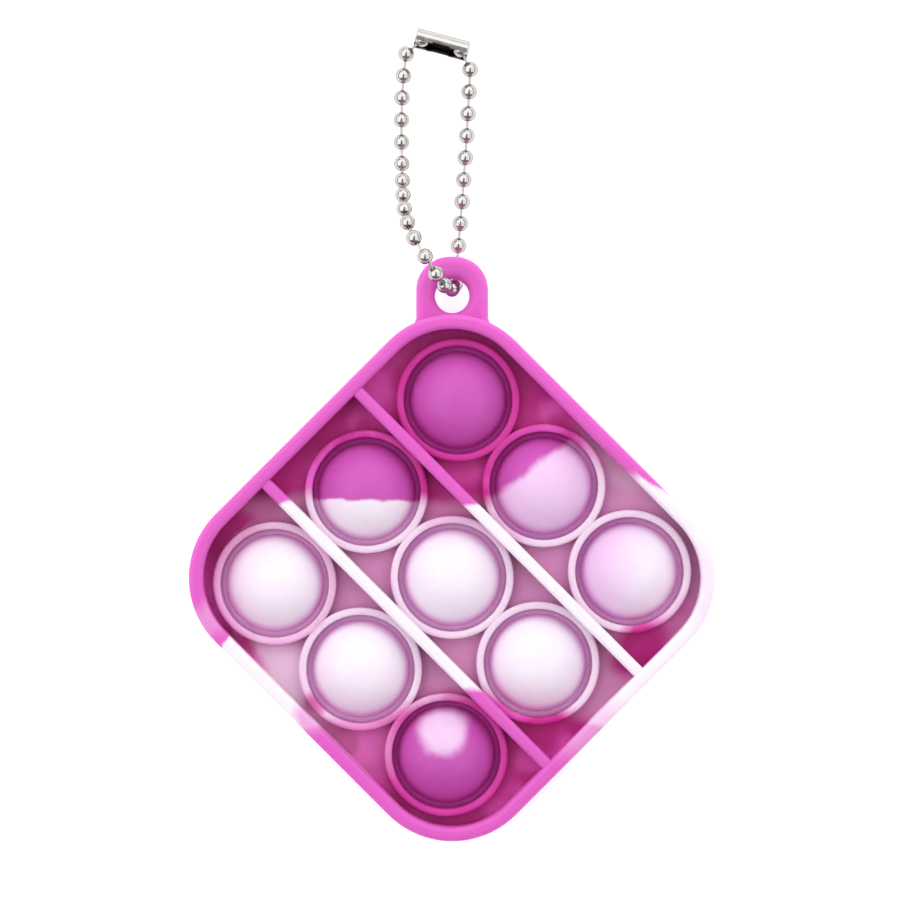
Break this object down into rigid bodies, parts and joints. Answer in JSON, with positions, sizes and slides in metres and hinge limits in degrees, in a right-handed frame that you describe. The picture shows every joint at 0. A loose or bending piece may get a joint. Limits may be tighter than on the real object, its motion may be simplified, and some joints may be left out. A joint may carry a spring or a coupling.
{
  "type": "press-bubble fidget keychain",
  "caption": "Square silicone fidget with press bubbles that pop through from face to face, ribs between the rows, and a tab that carries a ball chain closed by a slotted connector.",
  "frame": {"origin": "centre of the square tray on the plane of its back rim, which lies on the table", "axes": "+Z towards the side the bubbles stand up on, +Y from the tray's centre through the corner with the tab and the chain"},
  "size_m": [0.0782, 0.1219, 0.015],
  "materials": {
    "silicone": "satin marbled silicone",
    "silicone_membrane": "satin marbled silicone, thin",
    "bead_plating": "nickel plated",
    "link_steel": "nickel plated wire",
    "connector_steel": "nickel plated strip"
  },
  "bodies": {
    "tray": {"tray": "silicone"},
    "bubble_upper_left": {"bubble_upper_left": "silicone_membrane"},
    "bubble_upper_centre": {"bubble_upper_centre": "silicone_membrane"},
    "bubble_upper_right": {"bubble_upper_right": "silicone_membrane"},
    "bubble_middle_left": {"bubble_middle_left": "silicone_membrane"},
    "bubble_middle_centre": {"bubble_middle_centre": "silicone_membrane"},
    "bubble_middle_right": {"bubble_middle_right": "silicone_membrane"},
    "bubble_lower_left": {"bubble_lower_left": "silicone_membrane"},
    "bubble_lower_centre": {"bubble_lower_centre": "silicone_membrane"},
    "bubble_lower_right": {"bubble_lower_right": "silicone_membrane"},
    "chain_at_tab": {"bead_06": "bead_plating", "bead_07": "bead_plating", "bead_08": "bead_plating", "bead_09": "bead_plating", "bead_10": "bead_plating", "bead_11": "bead_plating", "bead_12": "bead_plating", "bead_13": "bead_plating", "bead_14": "bead_plating", "bead_15": "bead_plating", "bead_16": "bead_plating", "bead_17": "bead_plating", "bead_18": "bead_plating", "bead_19": "bead_plating", "bead_20": "bead_plating", "bead_21": "bead_plating", "bead_22": "bead_plating", "links_at_tab": "link_steel"},
    "loop_level_1": {"bead_05": "bead_plating", "bead_23": "bead_plating", "link_05": "link_steel", "link_22": "link_steel"},
    "loop_level_2": {"bead_04": "bead_plating", "bead_24": "bead_plating", "link_04": "link_steel", "link_23": "link_steel"},
    "loop_level_3": {"bead_03": "bead_plating", "bead_25": "bead_plating", "link_03": "link_steel", "link_24": "link_steel"},
    "loop_level_4": {"bead_02": "bead_plating", "bead_26": "bead_plating", "link_02": "link_steel", "link_25": "link_steel"},
    "loop_top": {"bead_01": "bead_plating", "bead_27": "bead_plating", "bead_28": "bead_plating", "link_01": "link_steel", "link_26": "link_steel", "link_27": "link_steel", "connector": "connector_steel"}
  },
  "joints": [
    {"name": "pop_upper_left", "type": "slide", "parent": "tray", "child": "bubble_upper_left", "axis": [0, 0, 1], "range_m": [-0.011, 0]},
    {"name": "pop_upper_centre", "type": "slide", "parent": "tray", "child": "bubble_upper_centre", "axis": [0, 0, 1], "range_m": [-0.011, 0]},
    {"name": "pop_upper_right", "type": "slide", "parent": "tray", "child": "bubble_upper_right", "axis": [0, 0, 1], "range_m": [-0.011, 0]},
    {"name": "pop_middle_left", "type": "slide", "parent": "tray", "child": "bubble_middle_left", "axis": [0, 0, 1], "range_m": [-0.011, 0]},
    {"name": "pop_middle_centre", "type": "slide", "parent": "tray", "child": "bubble_middle_centre", "axis": [0, 0, 1], "range_m": [-0.011, 0]},
    {"name": "pop_middle_right", "type": "slide", "parent": "tray", "child": "bubble_middle_right", "axis": [0, 0, 1], "range_m": [-0.011, 0]},
    {"name": "pop_lower_left", "type": "slide", "parent": "tray", "child": "bubble_lower_left", "axis": [0, 0, 1], "range_m": [-0.011, 0]},
    {"name": "pop_lower_centre", "type": "slide", "parent": "tray", "child": "bubble_lower_centre", "axis": [0, 0, 1], "range_m": [-0.011, 0]},
    {"name": "pop_lower_right", "type": "slide", "parent": "tray", "child": "bubble_lower_right", "axis": [0, 0, 1], "range_m": [-0.011, 0]},
    {"name": "chain_swing", "type": "hinge", "parent": "tray", "child": "chain_at_tab", "pos_m": [0, 0.0421, 0.00625], "axis": [0, 0, 1], "range_deg": [-30, 30]},
    {"name": "chain_curl_1", "type": "hinge", "parent": "chain_at_tab", "child": "loop_level_1", "pos_m": [-0.0028, 0.06327, 0.00141], "axis": [0.9946, 0.0936, -0.044], "range_deg": [0, 20]},
    {"name": "chain_curl_2", "type": "hinge", "parent": "loop_level_1", "child": "loop_level_2", "pos_m": [-0.00272, 0.06658, 0.0012], "axis": [0.9956, 0.0939, 0], "range_deg": [0, 20]},
    {"name": "chain_curl_3", "type": "hinge", "parent": "loop_level_2", "child": "loop_level_3", "pos_m": [-0.00263, 0.0699, 0.0012], "axis": [0.9958, 0.0916, 0], "range_deg": [0, 20]},
    {"name": "chain_curl_4", "type": "hinge", "parent": "loop_level_3", "child": "loop_level_4", "pos_m": [-0.00249, 0.07323, 0.0012], "axis": [0.9959, 0.0908, 0], "range_deg": [0, 20]},
    {"name": "chain_curl_5", "type": "hinge", "parent": "loop_level_4", "child": "loop_top", "pos_m": [-0.00242, 0.07653, 0.00123], "axis": [0.996, 0.0893, 0.0057], "range_deg": [0, 20]}
  ],
  "couplings": [
    {"joint": "chain_curl_2", "follows": "chain_curl_1", "ratio": 1},
    {"joint": "chain_curl_3", "follows": "chain_curl_1", "ratio": 1},
    {"joint": "chain_curl_4", "follows": "chain_curl_1", "ratio": 1},
    {"joint": "chain_curl_5", "follows": "chain_curl_1", "ratio": 1}
  ]
}
